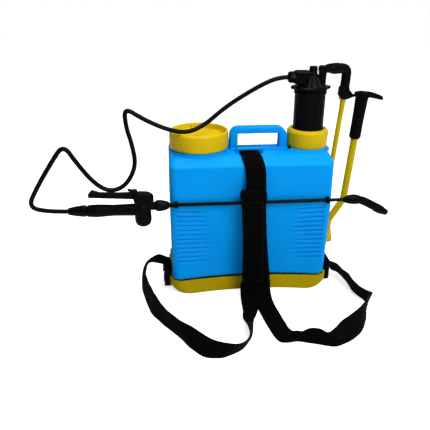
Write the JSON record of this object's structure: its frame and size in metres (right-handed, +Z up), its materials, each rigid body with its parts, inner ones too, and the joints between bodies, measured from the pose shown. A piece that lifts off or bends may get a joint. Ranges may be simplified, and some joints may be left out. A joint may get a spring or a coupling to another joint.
{
  "type": "backpack sprayer",
  "caption": "Backpack sprayer: blue tank on a yellow base, side pump lever driving a sliding air chamber, hose, trigger valve, lance and shoulder straps.",
  "frame": {"origin": "on the floor, middle of the underside of the base", "axes": "+Z up, -Y towards the strap side that lies on the wearer's back, +X towards the pump lever"},
  "size_m": [0.8376, 0.4421, 0.5205],
  "materials": {
    "blue_plastic": "satin blow-moulded polyethylene",
    "yellow_plastic": "satin injection-moulded",
    "black_plastic": "fine matt",
    "white_plastic": "natural polypropylene",
    "rubber": "matt",
    "hose_rubber": "satin extruded",
    "steel": "zinc plated",
    "brass": "turned",
    "yellow_paint": "powder coat",
    "black_lance": "satin",
    "webbing": "woven polypropylene",
    "pad_fabric": "fine woven cover over foam"
  },
  "bodies": {
    "tank_frame": {"tank": "blue_plastic", "base": "yellow_plastic", "base_screws": "steel", "strainer_basket": "white_plastic", "collar_gasket": "rubber", "pump_barrel": "white_plastic", "guide_bush": "white_plastic", "pump_collar": "yellow_plastic", "inlet_valve_seat": "white_plastic", "suction_strainer": "white_plastic", "pivot_bracket": "yellow_plastic", "shaft_bush": "white_plastic", "bracket_bolts": "steel", "valve_body": "black_plastic", "valve_cap": "black_plastic", "valve_spring": "steel", "plunger_seal": "rubber", "trigger_pin": "steel", "wand_hose_nut": "black_plastic", "lance_nut": "black_plastic", "lance": "black_lance", "nozzle_elbow": "black_plastic", "lance_clips": "black_plastic", "left_strap_hook": "black_plastic", "right_strap_hook": "black_plastic", "top_webbing": "webbing", "strap_keeper": "black_plastic", "left_shoulder_pad": "pad_fabric", "right_shoulder_pad": "pad_fabric", "left_strap_run": "webbing", "right_strap_run": "webbing", "left_strap_loop": "webbing", "right_strap_loop": "webbing", "hose": "hose_rubber"},
    "lid": {"filler_lid": "yellow_plastic", "lid_gasket": "rubber", "vent_valve": "rubber"},
    "pump": {"air_chamber": "black_plastic", "chamber_head": "black_plastic", "outlet_nut": "black_plastic", "dip_tube": "white_plastic", "plunger_tube": "white_plastic", "piston": "white_plastic", "cup_seal": "rubber", "drive_arm": "black_plastic", "link_pin": "steel"},
    "link": {"link_rod": "yellow_paint", "crank_pin": "steel"},
    "rocker": {"rocker_shaft": "steel", "lever_hub": "yellow_plastic", "lever_tube": "yellow_paint", "hand_grip": "black_plastic", "hand_stop": "black_plastic"},
    "inlet_ball": {"inlet_ball": "steel"},
    "outlet_ball": {"outlet_ball": "steel"},
    "plunger": {"valve_plunger": "brass"},
    "trigger": {"trigger_lever": "black_plastic"},
    "latch": {"trigger_latch": "black_plastic"},
    "spray_cap": {"nozzle_cap": "black_plastic"}
  },
  "joints": [
    {"name": "lever_swing", "type": "hinge", "parent": "tank_frame", "child": "rocker", "pos_m": [0.226, 0.091, 0.048], "axis": [1, 0, 0], "range_deg": [0, 40]},
    {"name": "pump_stroke", "type": "slide", "parent": "tank_frame", "child": "pump", "axis": [0, 0, -1], "range_m": [0, 0.0452]},
    {"name": "link_swing", "type": "hinge", "parent": "pump", "child": "link", "pos_m": [0.2285, 0.03, 0.44], "axis": [1, 0, 0], "range_deg": [-0.3, 0]},
    {"name": "inlet_ball_lift", "type": "slide", "parent": "tank_frame", "child": "inlet_ball", "axis": [0, 0, 1], "range_m": [0, 0.003]},
    {"name": "outlet_ball_lift", "type": "slide", "parent": "pump", "child": "outlet_ball", "axis": [0, 0, 1], "range_m": [0, 0.003]},
    {"name": "trigger_squeeze", "type": "hinge", "parent": "tank_frame", "child": "trigger", "pos_m": [-0.232, -0.1, 0.252], "axis": [0, -1, 0], "range_deg": [0, 8], "stiffness_Nm_per_rad": 1.5, "springref_deg": -2.86},
    {"name": "plunger_push", "type": "slide", "parent": "tank_frame", "child": "plunger", "axis": [0, 0, -1], "range_m": [0, 0.0018], "deforming": ["valve_spring"]},
    {"name": "latch_flip", "type": "hinge", "parent": "trigger", "child": "latch", "pos_m": [-0.26, -0.1, 0.2725], "axis": [0, 1, 0], "range_deg": [0, 70]},
    {"name": "nozzle_turn", "type": "hinge", "parent": "tank_frame", "child": "spray_cap", "pos_m": [0.246, -0.1, 0.236], "axis": [0.8862, 0, -0.4633], "range_deg": [0, 360]},
    {"name": "lid_turn", "type": "hinge", "parent": "tank_frame", "child": "lid", "pos_m": [-0.1135, 0, 0.361], "axis": [0, 0, 1], "continuous": true}
  ],
  "couplings": [
    {"joint": "pump_stroke", "follows": "lever_swing", "m_per_rad": 0.064628},
    {"joint": "link_swing", "follows": "lever_swing", "ratio": -0.00616},
    {"joint": "plunger_push", "follows": "trigger_squeeze", "m_per_rad": 0.0127}
  ]
}
